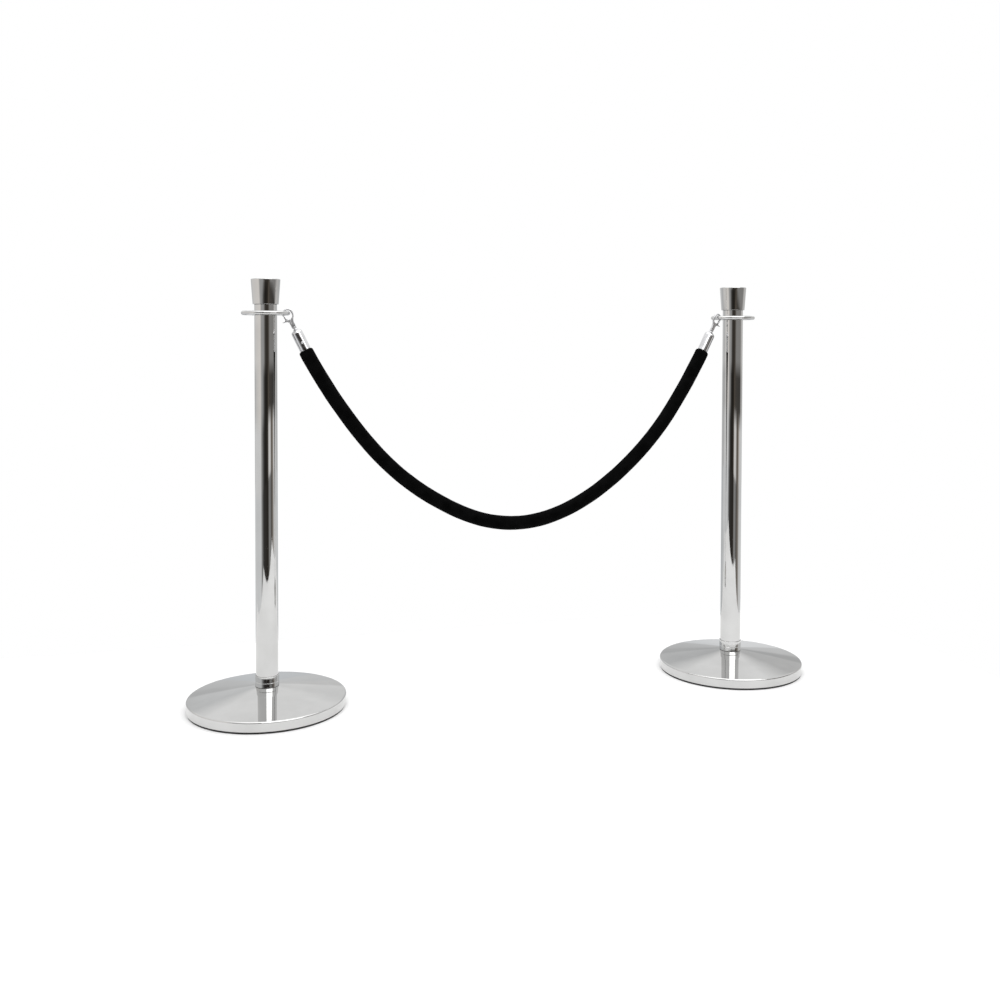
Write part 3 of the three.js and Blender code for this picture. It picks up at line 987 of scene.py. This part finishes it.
def make_floor():
    """A plain pale sheet under the posts, which glows a little as a lit floor does."""
    bm = bmesh.new()
    left, right, front, back = -1.5, 1.2, -1.38, 0.55
    corners = [(left, front), (right, front), (right, back), (left, back)]
    bm.faces.new([bm.verts.new((x, y, 0)) for x, y in corners])
    floor = bpy.data.objects.new("floor", to_mesh("floor", bm))
    bpy.context.scene.collection.objects.link(floor)
    material, nodes, links, shader = base_material("pale_floor", (0.62, 0.62, 0.62), 0, 0.9)
    shader.inputs["Emission Color"].default_value = (1, 1, 1, 1)
    shader.inputs["Emission Strength"].default_value = 0.3
    paper = grain(nodes, links, 25, detail=4)
    links.new(between(nodes, links, paper, 0.85, 0.95), shader.inputs["Roughness"])
    floor.data.materials.append(material)


def ramp_round(nodes, links, angle, stops):
    """Brightness round the room: stops are (degrees from -Y towards +X, brightness, warmth)."""
    ramp = nodes.new("ShaderNodeValToRGB")
    elements = ramp.color_ramp.elements
    while len(elements) < len(stops):
        elements.new(0.5)
    for element, (degrees, level, warmth) in zip(elements, stops):
        element.position = (degrees + 180) / 360
        element.color = (level, level * (1 - 0.5 * warmth), level * (1 - warmth), 1)
    links.new(angle, ramp.inputs["Fac"])
    return ramp.outputs["Color"]


def make_room():
    """The studio's round wall, hidden from the camera: light, with a dark stretch in front."""
    bm = bmesh.new()
    radius, low, high, steps = 3.0, -2.0, 1.7, 96
    angles = [2 * math.pi * k / steps for k in range(steps)]
    circle = [(radius * math.cos(a), radius * math.sin(a)) for a in angles]
    bottom = [bm.verts.new((x, y, low)) for x, y in circle]
    top = [bm.verts.new((x, y, high)) for x, y in circle]
    for k in range(steps):
        j = (k + 1) % steps
        bm.faces.new((bottom[k], bottom[j], top[j], top[k]))
    room = bpy.data.objects.new("room", to_mesh("room", bm))
    bpy.context.scene.collection.objects.link(room)
    room.visible_camera = False
    room.visible_shadow = False
    room.data.materials.append(room_material())


def room_material():
    """A glow that depends on the place on the wall, by angle and height."""
    material = bpy.data.materials.new("room")
    material.use_nodes = True
    nodes, links = material.node_tree.nodes, material.node_tree.links
    nodes.clear()
    place = nodes.new("ShaderNodeTexCoord")
    split = nodes.new("ShaderNodeSeparateXYZ")
    links.new(place.outputs["Object"], split.inputs["Vector"])
    front = nodes.new("ShaderNodeMath")
    front.operation = "MULTIPLY"
    front.inputs[1].default_value = -1
    links.new(split.outputs["Y"], front.inputs[0])
    turn = nodes.new("ShaderNodeMath")
    turn.operation = "ARCTAN2"
    links.new(split.outputs["X"], turn.inputs[0])
    links.new(front.outputs[0], turn.inputs[1])
    angle = between(nodes, links, turn.outputs[0], 0, 1, -math.pi, math.pi)
    whole = ramp_round(nodes, links, angle, SKIRTING)
    bands = [
        (FOOT_BLEND, LOWER_WALL),
        (LOW_BLEND, MIDDLE_WALL),
        (HIGH_BLEND, UPPER_WALL),
        (CORNICE_BLEND, CORNICE),
    ]
    for (start, end), stops in bands:
        above = ramp_round(nodes, links, angle, stops)
        whole = mixed(nodes, links, split.outputs["Z"], start, end, whole, above)
    glow = nodes.new("ShaderNodeEmission")
    links.new(whole, glow.inputs["Color"])
    glow.inputs["Strength"].default_value = 1.06
    output = nodes.new("ShaderNodeOutputMaterial")
    links.new(glow.outputs[0], output.inputs["Surface"])
    return material


def mixed(nodes, links, height, start, end, below, above):
    """One colour below a height and another above it."""
    mix = nodes.new("ShaderNodeMix")
    mix.data_type = "RGBA"
    links.new(between(nodes, links, height, 0, 1, start, end), mix.inputs["Factor"])
    links.new(below, mix.inputs["A"])
    links.new(above, mix.inputs["B"])
    return mix.outputs["Result"]


def softbox(name, place, turn, width, height, power):
    data = bpy.data.lights.new(name, "AREA")
    data.shape = "RECTANGLE"
    data.size = width
    data.size_y = height
    data.energy = power
    lamp = bpy.data.objects.new(name, data)
    lamp.location = place
    lamp.rotation_euler = turn
    lamp.visible_camera = False
    bpy.context.scene.collection.objects.link(lamp)


def make_lights():
    """Soft light from above and from the front, and an evenly white world."""
    softbox("overhead", (0, -0.3, 3.0), (0, 0, 0), 4.0, 3.0, 40)
    softbox("front_softbox", (0.8, -2.7, 2.3), (math.radians(55), 0, 0), 3.8, 1.3, 38)
    world = bpy.data.worlds.new("studio")
    world.use_nodes = True
    world.node_tree.nodes["Background"].inputs["Color"].default_value = (1, 1, 1, 1)
    world.node_tree.nodes["Background"].inputs["Strength"].default_value = 1.0
    bpy.context.scene.world = world
    bpy.context.scene.view_settings.view_transform = "Standard"


# ---- Everything together ----
make_camera()

steel = polished_steel()
chrome = plated_fitting()
casting = plated_casting()
zinc = zinc_steel()
iron = cast_iron()

rope, rope_path, rope_length = make_rope_cover(black_velour())
make_rope_core(cotton())

rubber = black_rubber()
for side in SIDES:
    make_floor_pad(side, rubber)
    make_base_cover(side, steel)
    make_collar(side, steel)
    make_tube(side, steel)
    make_rope_ring(side, steel)
    make_neck(side, steel)
    make_crown(side, steel)
    make_ferrule(side, chrome)
    make_ferrule_screw(side, chrome)
    make_swivel_washer(side, chrome)
    make_hook_body(side, casting)
    make_trigger(side, casting)

CARRIED = {
    "base_weight": iron,
    "base_washer": zinc,
    "base_bolt": zinc,
    "foot_plug": zinc,
    "head_plug": zinc,
    "head_stud": zinc,
    "trigger_pin": zinc,
    "trigger_spring": zinc,
}
for side in SIDES:
    for node, material in CARRIED.items():
        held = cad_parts[f"{side}_{node}"]
        held.data.materials.clear()
        held.data.materials.append(material)

make_floor()
make_room()
make_lights()
